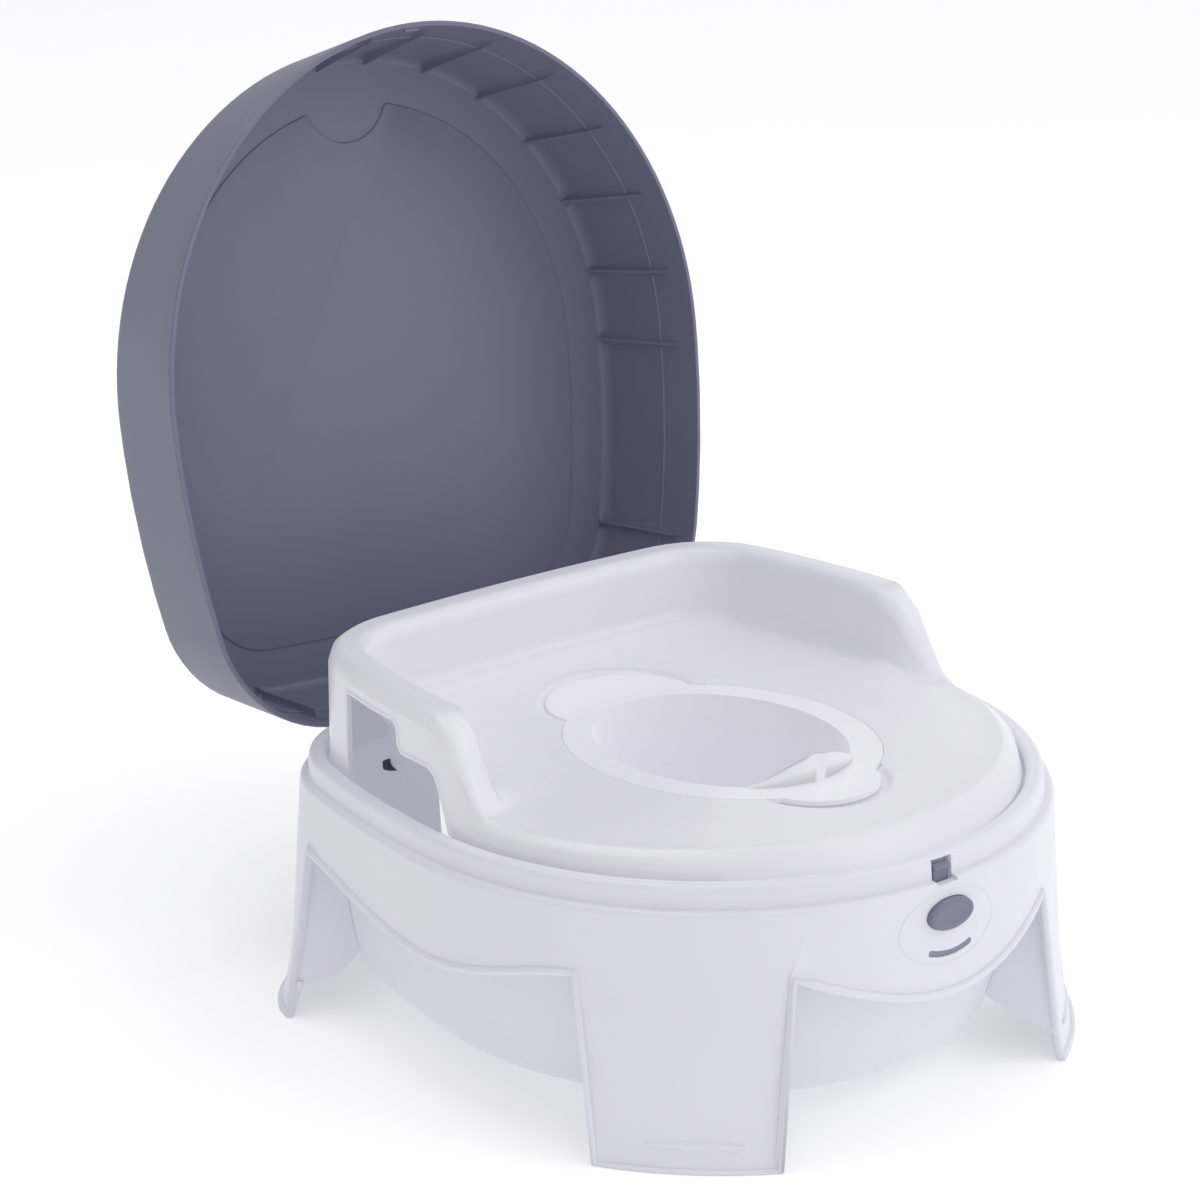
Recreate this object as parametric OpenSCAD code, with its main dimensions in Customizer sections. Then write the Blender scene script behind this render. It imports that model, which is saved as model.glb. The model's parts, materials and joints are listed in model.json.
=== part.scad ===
// Potty training chair: a step-stool base with a hinged lid, a lift-off seat and a lift-out pot.
// Millimetres, +Z up, front towards -Y, origin on the floor under the middle of the base.

/* [Base] */
// Width of the base at its shoulder
base_w = 330; // [280:1:380]
// Reach of the rounded front, ahead of the widest point
front_reach = 181; // [150:1:210]
// Height of the shoulder that the lid rests on
shoulder_z = 122.4; // [105:0.1:145]
// Height of the neck above the shoulder
neck_h = 11.7; // [8:0.1:16]
// Step from the shoulder in to the neck
neck_inset = 4.2; // [3.8:0.1:7]
// Wall of the mouldings
wall = 2.6; // [2:0.1:3.2]
// Width of the rolled rim round the mouth
rim_w = 9.2; // [8:0.1:12]
// Outward lean of the skirt, per unit of height
skirt_lean = 0.035; // [0:0.005:0.06]
// Extra outward lean of the rear corners, per unit of height
rear_lean = 0.07; // [0:0.005:0.09]
// How far the toes of the legs kick out
toe_kick = 4.5; // [0:0.1:8]
// Drop from the shoulder to the skirt's lower edge at the legs
skirt_drop = 32.4; // [24:0.1:40]

/* [Tub] */
// Gap from the shoulder line in to the tub's wall
tub_inset = 17; // [16:0.1:22]
// Height of the tub's underside above the floor
tub_z = 15; // [10:0.5:30]
// How far the tub's wall rounds in towards its floor
tub_round = 10.2; // [5:0.1:16]
// How far the tub's front tucks in below the skirt
tub_tuck = 9.7; // [0:0.1:16]
// Width of the opening in the tub's rear wall
rear_gap_w = 104; // [60:1:120]

/* [Lid] */
// Depth of the lid from its rim to its top
lid_h = 76.4; // [70:0.1:90]
// Angle the lid stands open
lid_open = 95.2; // [0:0.1:100]
// Inward slope of the lid's skirt over its depth
lid_draft = 8.4; // [4:0.1:12]
// Number of gusset ribs inside the lid's skirt
lid_ribs = 22; // [10:2:30]
// Thickness of the step mat
mat_t = 1.8; // [1.2:0.1:3]

/* [Hinge] */
// Diameter of the hinge pins
pin_d = 5; // [4:0.1:6]
// Distance from the middle to each hinge
hinge_x = 62; // [40:1:80]
// Width of each lid lug
lug_w = 12; // [8:0.5:16]
// Radial clearance of a lug on its pin
pin_fit = 0.05; // [0.02:0.01:0.1]

/* [Seat] */
// Height of the seat plate above the rim
plate_rise = 11.9; // [8:0.1:20]
// Room between the wall round the seat and the shut lid
headroom = 7.4; // [5:0.1:20]
// Gap from the sides of the base in to the seat's rounded front
seat_side_in = 23; // [20:0.5:40]
// Gap from the front of the base back to the seat's rounded front
seat_front_in = 30; // [22:0.5:45]

/* [Pot] */
// Half width of the pot's flange
pot_a = 70; // [60:0.5:76]
// Half length of the pot's flange
pot_b = 88; // [75:0.5:95]
// Height of the pot's underside above the floor
pot_z = 24; // [20:0.5:50]
// Height of the splash guard above the flange
guard_h = 12; // [6:0.5:20]

/* [Latch] */
// Width of the button
button_w = 26; // [18:0.5:32]
// Height of the button
button_h = 15; // [10:0.5:18]
// Drop from the shoulder to the button's centre
button_drop = 15.4; // [13:0.1:20]
// Travel of the button
press = 3.5; // [2:0.1:4]
// Width of the hook
hook_w = 9; // [6:0.5:11]

/* [Hidden] */
$fn = 48;
eps = 0.02;
half_w = base_w / 2;
front_y = 2;                       // widest point of the plan, measured from the origin
side_r = 560;                      // radius of the long, slightly bowed sides
corner_r = 73;                     // radius of the rear corners
corner_x = half_w - 83;            // centre of the rear corners
rear_bow = 3;                      // bow of the rear edge
rim_z = shoulder_z + neck_h;
skirt_z = shoulder_z - skirt_drop; // skirt's lower edge at the legs
plate_z = rim_z + plate_rise;
button_z = shoulder_z - button_drop;
lip_drop = 8;                      // how far the rolled rim turns down inside
lid_gap = 0.3;                     // lid rim to shoulder
seat_gap = 1.6;                    // seat skirt to rim
fit_gap = 0.3;                     // loose fit between mouldings

// ---- Plan outline: half of it as [x, y, normal x, normal y] stations, front to rear
corner_y = front_y + sqrt(pow(side_r - corner_r, 2) - pow(corner_x - half_w + side_r, 2));
side_end = asin((corner_y - front_y) / (side_r - corner_r));
rear_k = (rear_bow * rear_bow - corner_x * corner_x) / (2 * rear_bow);
rear_r = corner_r + rear_bow - rear_k;
corner_end = atan2(-rear_k, corner_x);
rear_y = corner_y + rear_k + rear_r;
front_end_y = front_y - front_reach;
corner_n = 12;
rear_n = 6;

function front_station(a) = let (n = [front_reach * cos(a), half_w * sin(a)])
    [half_w * cos(a), front_y + front_reach * sin(a), n[0] / norm(n), n[1] / norm(n)];
function arc_station(cx, cy, r, a) = [cx + r * cos(a), cy + r * sin(a), cos(a), sin(a)];
half_plan = concat(
    [for (a = [-90:3:0]) front_station(a)],
    [for (a = [1.4, side_end / 3, side_end * 0.6, side_end * 0.82])
        arc_station(half_w - side_r, front_y, side_r, a)],
    [for (i = [0:corner_n]) arc_station(corner_x, corner_y, corner_r,
        side_end + (corner_end - side_end) * i / corner_n)],
    [for (i = [1:rear_n]) arc_station(0, corner_y + rear_k, rear_r,
        corner_end + (90 - corner_end) * i / rear_n)]);
half_count = len(half_plan);
plan = concat(half_plan, [for (i = [half_count - 2:-1:1])
    let (s = half_plan[i]) [-s[0], s[1], -s[2], s[3]]]);
plan_count = len(plan);

// Index of a station in the half plan, and where the legs and the seat's arms lie
function half_index(i) = i < half_count ? i : plan_count - i;
front_leg = [9, 20];
rear_leg = [35, 35 + corner_n - 1];
function in_leg(h) = (h > front_leg[0] && h < front_leg[1]) || (h > rear_leg[0] && h < rear_leg[1]);

function off_point(s, d, z, dy = 0) = [s[0] + s[2] * d, s[1] + s[3] * d + dy, z];
function ring(d, z, dy = 0) = [for (s = plan) off_point(s, d, z, dy)];
function plan_2d(d) = [for (s = plan) [s[0] + s[2] * d, s[1] + s[3] * d]];
function ellipse(a, b, cy, z, n = 64) = [for (i = [0:n - 1])
    [a * sin(360 * i / n), cy - b * cos(360 * i / n), z]];
function mix(a, b, t) = a + (b - a) * t;
function smooth(t) = let (c = max(0, min(1, t))) c * c * (3 - 2 * c);

// A solid from rings of equal length: closed round like a tyre, or capped at both ends
module loft(rings, closed = false) {
    n = len(rings[0]);
    m = len(rings);
    last = closed ? m - 1 : m - 2;
    sides = [for (k = [0:last], i = [0:n - 1]) let (
        a = k * n + i, b = k * n + (i + 1) % n,
        c = ((k + 1) % m) * n + (i + 1) % n, d = ((k + 1) % m) * n + i)
        each [[a, d, c], [a, c, b]]];
    caps = closed ? [] : [[for (i = [0:n - 1]) i], [for (i = [n - 1:-1:0]) (m - 1) * n + i]];
    polyhedron(points = [for (r = rings) each r], faces = concat(caps, sides), convexity = 10);
}

// A solid from cross-sections that stand in a row, closed by the first and the last
module strip(sections) {
    n = len(sections[0]);
    m = len(sections);
    sides = [for (k = [0:m - 2], i = [0:n - 1]) let (
        a = k * n + i, b = k * n + (i + 1) % n, c = (k + 1) * n + (i + 1) % n, d = (k + 1) * n + i)
        each [[a, c, d], [a, b, c]]];
    caps = [[for (i = [n - 1:-1:0]) i], [for (i = [0:n - 1]) (m - 1) * n + i]];
    polyhedron(points = [for (s = sections) each s], faces = concat(caps, sides), convexity = 10);
}

module mirrored() {
    children();
    mirror([1, 0, 0]) children();
}

// ---- Base: neck, shoulder, skirt and four legs in one moulding
front_wave = 20.5;
side_wave = 14;
side_low_y = -5;
function skirt_edge(i) = let (
    h = half_index(i), s = half_plan[h],
    y = s[1], x = s[0],
    reach = y < side_low_y ? 82 : 112)
    in_leg(h) ? 0 :
    h <= front_leg[0] ? skirt_z - front_wave * cos(90 * min(1, x / half_plan[front_leg[0]][0])) :
    h <= rear_leg[0] ? skirt_z - side_wave * pow(cos(90 * min(1, abs(y - side_low_y) / reach)), 1.5) :
    skirt_z - 2;
toe_h = 40;
function rear_share(h) = smooth((h - 32) / 5.5) * smooth((49.5 - h) / 5);
function skirt_off(h, z) = 0.4 + (shoulder_z - 2 - z) * (skirt_lean + rear_lean * rear_share(h))
    + toe_kick * pow(max(0, 1 - z / toe_h), 2);
function skirt_ring(t, inward) = [for (i = [0:plan_count - 1]) let (
    z = mix(skirt_edge(i), shoulder_z - 2, t))
    off_point(plan[i], skirt_off(half_index(i), z) - inward, z)];
skirt_steps = [0, 0.07, 0.16, 0.3, 0.6];
rim_in = neck_inset + rim_w;

module leg_webs() {
    // Flanges that turn in from each side of the legs towards the tub
    web_top = skirt_z - 4;
    for (h = [front_leg[0] + 1, front_leg[1] - 1, rear_leg[0] + 1, rear_leg[1] - 1]) {
        s = half_plan[h];
        a = atan2(s[3], s[2]);
        translate([s[0], s[1], 0]) rotate([0, 0, a]) rotate([90, 0, 0])
            translate([0, 0, -wall / 2]) linear_extrude(wall)
            polygon(concat(
                [[skirt_off(h, 16) - wall / 2, 16], [-12, 20]],
                [for (z = [30, 42, 60, web_top]) [0.5 - tub_in(s, z), z]],
                [for (z = [web_top, toe_h]) [skirt_off(h, z) - wall / 2, z]]));
    }
}

module latch_cuts() {
    // Slot for the hook, oval hole for the button, slot for the smile
    translate([-hook_w / 2 - 1.5, front_end_y - 2, shoulder_z - 1.5])
        cube([hook_w + 3, neck_inset + wall + 3, neck_h - 0.6]);
    translate([-hook_w / 2 - 1.5, arm_y - 1, shoulder_z - 6]) cube([hook_w + 3, arm_t + 1.6, 12]);
    translate([0, front_end_y + 8, button_z]) rotate([90, 0, 0]) linear_extrude(20)
        oval(button_w + 2 * fit_gap, button_h + 2 * fit_gap);
    translate([0, front_end_y + 8, button_z]) rotate([90, 0, 0]) linear_extrude(20)
        smile(1.5);
}

module oval(w, h) {
    polygon([for (a = [0:7.5:352.5]) [w / 2 * cos(a), h / 2 * sin(a)]]);
}

// A smiling arc below the button, as a flat shape
smile_r = 34;
smile_drop = 19;
smile_half = 11.5;
module smile(half_t) {
    translate([0, smile_r - smile_drop]) intersection() {
        difference() {
            circle(r = smile_r + half_t, $fn = 96);
            circle(r = smile_r - half_t, $fn = 96);
        }
        translate([0, -smile_r]) square([2 * smile_half, 20], center = true);
    }
    for (x = [-smile_half, smile_half])
        translate([x, smile_r - smile_drop - sqrt(smile_r * smile_r - x * x)]) circle(r = half_t);
}

hinge_y = rear_y + 2.8;
hinge_z = shoulder_z - 7.7;
ear_r = 4.7;
ear_t = 3.6;
ear_gap = 0.5;
ear_root = 5;
module hinge_ears() {
    for (side = [-1, 1]) translate([hinge_x + side * (lug_w / 2 + ear_gap + ear_t / 2), 0, 0])
        difference() {
            union() {
                translate([0, hinge_y, hinge_z]) rotate([0, 90, 0])
                    cylinder(r = ear_r, h = ear_t, center = true);
                translate([-ear_t / 2, rear_y - ear_root, hinge_z - ear_r])
                    cube([ear_t, hinge_y - rear_y + ear_root, 2 * ear_r]);
            }
            translate([0, hinge_y, hinge_z]) rotate([0, 90, 0])
                cylinder(d = pin_d + 0.04, h = ear_t + 1, center = true);
        }
}

arm_y = front_end_y + neck_inset + 0.9;      // front of the hook's arm
arm_t = 1.8;
boss_r = 3.2;
boss_x = 20.5;
boss_z = [button_z - 14, button_z + 3];
screw_r = 1.3;
latch_back_y = front_end_y + 13.4;   // front face of the latch housing's plate
module base_shell() {
    color([0.87, 0.87, 0.90]) difference() {
        union() {
            loft(concat(
                [for (t = skirt_steps) skirt_ring(t, 0)],
                [ring(0.4, shoulder_z - 2), ring(-0.4, shoulder_z - 0.4), ring(-1.4, shoulder_z),
                 ring(-neck_inset + 0.3, shoulder_z + 0.2), ring(-neck_inset, shoulder_z + 1),
                 ring(-neck_inset - 0.3, rim_z - 3.2), ring(-neck_inset - 1.2, rim_z - 1),
                 ring(-neck_inset - 3.2, rim_z), ring(-rim_in + 3.2, rim_z),
                 ring(-rim_in + 1, rim_z - 1), ring(-rim_in, rim_z - 3.4), ring(-rim_in, rim_z - lip_drop),
                 ring(-rim_in + wall, rim_z - lip_drop), ring(-rim_in + wall, rim_z - 4),
                 ring(-rim_in + wall + 1, rim_z - wall), ring(-neck_inset - wall - 1, rim_z - wall),
                 ring(-neck_inset - wall, rim_z - 4), ring(-neck_inset - wall, shoulder_z - wall + 1),
                 ring(0.4 - wall - 1, shoulder_z - wall - 0.6), ring(0.4 - wall, shoulder_z - wall - 2)],
                [for (i = [len(skirt_steps) - 1:-1:0]) skirt_ring(skirt_steps[i] * 0.94, wall)]),
                closed = true);
            mirrored() leg_webs();
            mirrored() hinge_ears();
            for (x = [-boss_x, boss_x], z = boss_z) translate([x, latch_back_y, z]) rotate([90, 0, 0])
                cylinder(r = boss_r, h = latch_back_y - front_end_y - 1.5);
        }
        latch_cuts();
        for (x = [-boss_x, boss_x], z = boss_z) translate([x, latch_back_y + 1, z]) rotate([90, 0, 0])
            cylinder(r = screw_r, h = 9);
        // Windows in the shoulder for the lid's lugs
        mirrored() translate([hinge_x - lug_w / 2 - ear_gap, rear_y - neck_inset + 0.6, hinge_z - ear_r - 1.6])
            cube([lug_w + 2 * ear_gap, 30, 30]);
    }
}

// ---- Tub: the inner moulding, which hangs from the rolled rim and carries the seat
ledge_z = rim_z - lip_drop - 5;
function tub_in(s, z) = let (t = max(0, (skirt_z + 20 - z) / (skirt_z + 20 - tub_z)))
    tub_inset + tub_round * pow(t, 3.6) + tub_tuck * max(0, -s[1] / front_reach) * t * t;
function tub_ring(z, extra) = [for (s = plan) off_point(s, -tub_in(s, z) - extra, z)];
module base_tub() {
    color([0.84, 0.84, 0.88]) difference() {
        loft(concat(
            [tub_ring(tub_z, 9), tub_ring(tub_z + 0.8, 4.6), tub_ring(tub_z + 3, 1.2)],
            [for (z = [tub_z + 7, tub_z + 15, tub_z + 28, tub_z + 45, skirt_z]) tub_ring(z, 0)],
            [ring(-tub_inset, ledge_z - wall - 2), ring(-rim_in + wall, ledge_z - wall),
             ring(-rim_in + wall, rim_z - lip_drop - fit_gap), ring(-rim_in + 0.2, rim_z - lip_drop - fit_gap),
             ring(-rim_in + 0.2, ledge_z), ring(-tub_inset - wall, ledge_z),
             ring(-tub_inset - wall, ledge_z - wall - 2)],
            [for (z = [skirt_z, tub_z + 45, tub_z + 28, tub_z + 16]) tub_ring(z, wall)],
            [tub_ring(tub_z + 8.5, wall), tub_ring(tub_z + 4.6, wall + 1.6),
             tub_ring(tub_z + 3, wall + 5), tub_ring(tub_z + wall, wall + 10)]));
        translate([-rear_gap_w / 2, rear_y - 70, skirt_z - 35]) cube([rear_gap_w, 80, 38]);
    }
}

// ---- Lid: a deep cover that is also the step; drawn closed, then swung open about the hinge
module swing() {
    translate([0, hinge_y, hinge_z]) rotate([-lid_open, 0, 0]) translate([0, -hinge_y, -hinge_z])
        children();
}
lid_top_z = shoulder_z + lid_h;
lid_rim_z = shoulder_z + lid_gap;
lid_shift = 6.8;                   // the top sits a little behind the rim
lid_t = 3;
function lid_ring(d, z) = ring(-d - lid_draft * (z - lid_rim_z) / lid_h, z, lid_shift * (z - lid_rim_z) / lid_h);
notch_r = 25;
mat_inset = 36;
module mat_shape(gap) {
    difference() {
        translate([0, lid_shift]) polygon(plan_2d(-mat_inset + gap));
        translate([0, front_end_y + 38]) circle(r = notch_r - gap);
    }
}
rib_t = 1.6;
module lid_gussets() {
    // Fins that stiffen the skirt, evenly spaced round it, each a wedge that widens towards the top
    step = plan_count / lid_ribs;
    for (k = [0:lid_ribs - 1]) {
        s = plan[round(step * (k + 0.5)) % plan_count];
        a = atan2(s[3], s[2]);
        translate([s[0], s[1], 0]) rotate([0, 0, a]) rotate([90, 0, 0])
            translate([0, 0, -rib_t / 2]) linear_extrude(rib_t)
            polygon([[-1.8, lid_rim_z + 6], [0.8 - neck_inset, lid_rim_z + 7], [0.8 - neck_inset, rim_z + 1.2],
                     [-lid_t - 4.4, rim_z + 3.4], [lid_shift * s[3] - lid_draft - 6.8, lid_top_z - 8],
                     [lid_shift * s[3] - lid_draft - 8.8, lid_top_z - 1],
                     [lid_shift * s[3] - lid_draft - 2, lid_top_z - 1]]);
    }
}
catch_w = 8;
module lid_shell() {
    color([0.42, 0.43, 0.52]) swing() difference() {
        union() {
            loft([
                lid_ring(2.6, lid_rim_z), lid_ring(0.6, lid_rim_z), lid_ring(0, lid_rim_z + 0.8),
                lid_ring(0, lid_rim_z + 30), lid_ring(0.2, lid_top_z - 7), lid_ring(1.2, lid_top_z - 3),
                lid_ring(3.4, lid_top_z - 0.8), lid_ring(7, lid_top_z)]);
            lid_lugs();
        }
        difference() {
            loft([
                lid_ring(2.5, lid_rim_z - 1), lid_ring(2.5, lid_rim_z + 24),
                lid_ring(3.2, lid_rim_z + 26), lid_ring(3.4, lid_top_z - 10),
                lid_ring(5, lid_top_z - lid_t - 1.6), lid_ring(8, lid_top_z - lid_t)]);
            lid_gussets();
            lid_catch();
        }
        translate([0, 0, lid_top_z - 1.2]) linear_extrude(5) mat_shape(0.2);
    }
}
module lid_lugs() {
    // Lugs that hang from the rim and turn on the hinge pins
    mirrored() translate([hinge_x - lug_w / 2, 0, 0]) difference() {
        union() {
            translate([0, hinge_y, hinge_z]) rotate([0, 90, 0]) cylinder(r = ear_r, h = lug_w);
            translate([0, hinge_y - ear_r, hinge_z]) cube([lug_w, ear_r + 0.4, lid_rim_z + 10 - hinge_z]);
        }
        translate([-1, hinge_y, hinge_z]) rotate([0, 90, 0])
            cylinder(d = pin_d + 2 * pin_fit, h = lug_w + 2);
    }
}
catch_z = shoulder_z + 1.4;
catch_t = 2.2;
module lid_catch() {
    // Ledge inside the front of the rim that the hook holds down
    translate([-catch_w / 2, front_end_y + 1, catch_z])
        cube([catch_w, neck_inset - 0.5, catch_t]);
}
module hinge_pins() {
    color([0.80, 0.80, 0.82]) for (side = [-1, 1])
        translate([side * hinge_x, hinge_y, hinge_z]) rotate([0, 90, 0])
        cylinder(d = pin_d, h = lug_w + 2 * (ear_gap + ear_t), center = true);
}

module step_mat() {
    color([0.35, 0.36, 0.43]) swing() translate([0, 0, lid_top_z - 1.2])
        linear_extrude(mat_t) mat_shape(0);
}

// ---- Seat: plate, raised wall with hollow arms, side grips, and the recess for the pot
wall_top_z = lid_top_z - lid_t - headroom;
seat_cy = -7;                      // centre of the rounded front edge
seat_a = half_w - seat_side_in;
seat_b = seat_cy - front_end_y - seat_front_in;
arm_front_y = -27;
arm_rise = 42;
bead_z = plate_z - 2.6;
crease_z = plate_z + 4;
seat_in = rim_in + seat_gap;
seat_foot_z = ledge_z + 0.2;
hole_a = 58.5;
hole_b = 76.5;
hole_y = -16;
pot_y = -17;
flange_t = 2.2;
recess = flange_t + 0.2;
plate_t = recess + 2.6;
grip_top = wall_top_z - 13.4;
function wall_share(s) = smooth((s[1] - arm_front_y) / arm_rise);
function front_point(s, r, z) = let (v = [s[0] / seat_a, (s[1] - seat_cy) / seat_b], u = v / norm(v))
    [u[0] * (seat_a + r), seat_cy + u[1] * (seat_b + r), z];
// A ring of the seat: inset and height on the wall, radius and height round the front
function seat_ring(d, zw, r, zf) = [for (s = plan)
    mix(front_point(s, r, zf), off_point(s, -d, zw), wall_share(s))];
function skirt_in(d, z) = [for (s = plan) off_point(s, -d, z)];
function polar_ring(a, b, cy, z0, rise) = [for (s = plan) let (
    v = [s[0] / a, (s[1] - cy) / b], u = v / norm(v), y = cy + b * u[1])
    [a * u[0], y, z0 + rise * max(0, y - 50) / 50]];

module seat_shell() {
    w = wall;
    color([0.88, 0.88, 0.91]) difference() {
        union() {
            loft([
                skirt_in(seat_in, seat_foot_z), skirt_in(seat_in, rim_z - 3),
                seat_ring(seat_in + 0.6, rim_z + 6, 7, bead_z - 5),
                seat_ring(seat_in + 2.4, wall_top_z - 9, 3.5, bead_z - 2.2),
                seat_ring(seat_in + 4.6, wall_top_z - 2.8, 1.5, bead_z - 0.5),
                seat_ring(seat_in + 9, wall_top_z, 0, bead_z),
                seat_ring(seat_in + 16, wall_top_z, -1.5, bead_z),
                seat_ring(seat_in + 21.4, wall_top_z - 2.8, -3.5, bead_z - 0.4),
                seat_ring(seat_in + 23.6, wall_top_z - 9, -7, bead_z - 0.3),
                seat_ring(seat_in + 26, crease_z + 8, -12, bead_z),
                seat_ring(seat_in + 29, crease_z + 1.8, -18, bead_z + 0.4),
                seat_ring(seat_in + 35, crease_z, -24, bead_z + 0.9),
                polar_ring(80, 108, -8, plate_z, 1.6),
                polar_ring(hole_a, hole_b, hole_y, plate_z, 0),
                polar_ring(hole_a, hole_b, hole_y, plate_z - plate_t, 0),
                polar_ring(80, 108, -8, plate_z - plate_t, 1.6),
                seat_ring(seat_in + 35, crease_z - w, -24, bead_z + 0.9 - w),
                seat_ring(seat_in + 28, crease_z + 0.6 - w, -18, bead_z + 0.4 - w),
                seat_ring(seat_in + 26 - w, crease_z + 7, -12, bead_z - w),
                seat_ring(seat_in + 23.6 - w, wall_top_z - 9.4, -8, bead_z - 0.3 - w),
                seat_ring(seat_in + 19.4, wall_top_z - 3.6 - w / 2, -5, bead_z - 0.4 - w),
                seat_ring(seat_in + 15.6, wall_top_z - w, -3, bead_z - w),
                seat_ring(seat_in + 9.4, wall_top_z - w, -1.5, bead_z - 0.3 - w),
                seat_ring(seat_in + 6.6, wall_top_z - 3.6 - w / 2, 0, bead_z - 1.4 - w),
                seat_ring(seat_in + 2.4 + w, wall_top_z - 9.4, 1.2, bead_z - 3 - w),
                seat_ring(seat_in + 0.6 + w, rim_z + 6, 4, bead_z - 6.4 - w),
                skirt_in(seat_in + w, rim_z - 3.4), skirt_in(seat_in + w, seat_foot_z)],
                closed = true);
            inner_skirt();
        }
        translate([0, 0, plate_z - recess]) linear_extrude(20) flange_shape(0.4);
        // Finger scoops ahead of and behind the pot's tabs
        translate([0, front_lobe_y - 1, plate_z - 3.6]) cylinder(r1 = front_lobe_r + 1, r2 = front_lobe_r + 8, h = 4.4);
        translate([0, rear_lobe_y + 2, plate_z - 3.4]) cylinder(r1 = rear_lobe_r - 2, r2 = rear_lobe_r + 6, h = 6);
        mirrored() translate([half_w - seat_in - 16, 0, 0]) rotate([90, 0, 90]) linear_extrude(60)
            grip_shape();
    }
}
module grip_shape() {
    // Side view of the hand opening under each arm
    polygon([[98, seat_foot_z - 1], [98, grip_top - 2], [96, grip_top], [46, grip_top], [43, grip_top - 3],
             [42, grip_top - 11], [39, grip_top - 14], [15, grip_top - 14], [10, grip_top - 17],
             [6, grip_top - 24], [-3, rim_z - 2], [-9, seat_foot_z - 1]]);
}
module inner_skirt() {
    // Stiffening skirt under the plate, which shows through the hand openings
    translate([0, 0, rim_z - 9]) linear_extrude(crease_z - rim_z + 7.4) intersection() {
        difference() {
            polygon(plan_2d(-seat_in - 30));
            polygon(plan_2d(-seat_in - 30 - wall + 0.4));
        }
        translate([-base_w / 2, 0]) square([base_w, base_w]);
    }
}
module seat_grips() {
    // Rubber pads under the skirt, so that the seat stays put on a grown-up toilet
    color([0.30, 0.31, 0.36]) mirrored() for (h = [half_count - 16, half_count - 9]) {
        s = half_plan[h];
        p = off_point(s, -seat_in - 31, 0);
        translate([p[0], p[1], rim_z - 12]) cylinder(r = 5, h = 3);
    }
}

// ---- Pot: flange with a tab at each end, deep bowl, splash guard at the front
rear_lobe_y = 61;
rear_lobe_r = 39;
front_lobe_y = -90;
front_lobe_r = 29;
bowl_a = 55;
bowl_b = 73;
module ellipse_2d(a, b, cy) {
    polygon([for (p = ellipse(a, b, cy, 0)) [p[0], p[1]]]);
}
module flange_shape(gap) {
    ellipse_2d(pot_a + gap, pot_b + gap, pot_y);
    translate([0, rear_lobe_y]) circle(r = rear_lobe_r + gap);
    translate([0, front_lobe_y]) circle(r = front_lobe_r + gap);
}
function bowl_ring(share, lift, out) = ellipse(bowl_a * share + out, bowl_b * share + out,
    hole_y * share - 6 * (1 - share), mix(pot_z, plate_z, lift), 56);
guard_span = 36;
function guard_rise(a) = 0.3 + guard_h * pow(cos(90 * a / guard_span), 1.3);
module pot() {
    color([0.89, 0.89, 0.92]) {
        difference() {
            union() {
                translate([0, 0, plate_z - flange_t]) linear_extrude(flange_t) flange_shape(0);
                loft([bowl_ring(0.55, 0, -4), bowl_ring(0.55, 0.02, 0), bowl_ring(0.66, 0.1, 0.6),
                      bowl_ring(0.78, 0.3, 1), bowl_ring(0.9, 0.6, 1.6), bowl_ring(0.97, 0.85, 2),
                      bowl_ring(1, 0.985, 2.2)]);
                splash_guard();
            }
            loft([bowl_ring(0.55, 0.022, -6.4), bowl_ring(0.55, 0.04, -2.4), bowl_ring(0.66, 0.12, -1.8),
                  bowl_ring(0.78, 0.3, -1.4), bowl_ring(0.9, 0.6, -0.8), bowl_ring(0.97, 0.85, -0.4),
                  bowl_ring(1, 0.992, 0), bowl_ring(1, 1.2, 0)]);
        }
    }
}
module splash_guard() {
    strip([for (a = [-guard_span:4:guard_span]) let (
        s = sin(a), c = cos(a), h = guard_rise(a),
        p = [(bowl_a - 0.2) * s, hole_y - (bowl_b - 0.2) * c], n = [s * 2.6, -c * 2.6])
        [[p[0], p[1], plate_z - 1], [p[0] + n[0], p[1] + n[1], plate_z - 1],
         [p[0] + n[0] * 0.9, p[1] + n[1] * 0.9, plate_z + h], [p[0], p[1], plate_z + h]]]);
}

// ---- Latch: button and hook on one slider, pushed forward by a spring
slider_y = front_end_y + wall + 0.6;
slider_t = 2;
slider_half = 15;
slider_top = shoulder_z - wall - 1.8;
module latch_button() {
    color([0.50, 0.51, 0.58]) translate([0, slider_y, button_z]) rotate([90, 0, 0]) {
        linear_extrude(slider_y - front_end_y + 2.8) oval(button_w, button_h);
        linear_extrude(slider_y - front_end_y + 3.6) oval(button_w - 2, button_h - 2);
    }
}
module latch_slider() {
    lip_y = front_end_y + neck_inset - 0.4;
    lip_z = catch_z + catch_t + 0.5;
    color([0.47, 0.48, 0.55]) {
        translate([-slider_half, slider_y, button_z - 8])
            cube([2 * slider_half, slider_t, slider_top - button_z + 8]);
        translate([-hook_w / 2, slider_y, slider_top - 2]) cube([hook_w, arm_y + arm_t - slider_y, 2]);
        translate([-hook_w / 2, arm_y, slider_top - 2]) cube([hook_w, arm_t, lip_z + 4 - slider_top]);
        translate([-hook_w / 2, 0, 0]) rotate([90, 0, 90]) linear_extrude(hook_w)
            polygon([[lip_y, lip_z], [lip_y, lip_z + 1.2], [arm_y + arm_t, lip_z + 3.4], [arm_y + arm_t, lip_z]]);
        translate([0, slider_y + slider_t, button_z]) rotate([-90, 0, 0]) cylinder(r = 2.4, h = 2.4);
    }
}
spring_r = 3.6;
wire_r = 0.45;
spring_turns = 4;
spring_y0 = slider_y + slider_t + wire_r + 0.1;
spring_y1 = latch_back_y - wire_r - 0.1;
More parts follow.
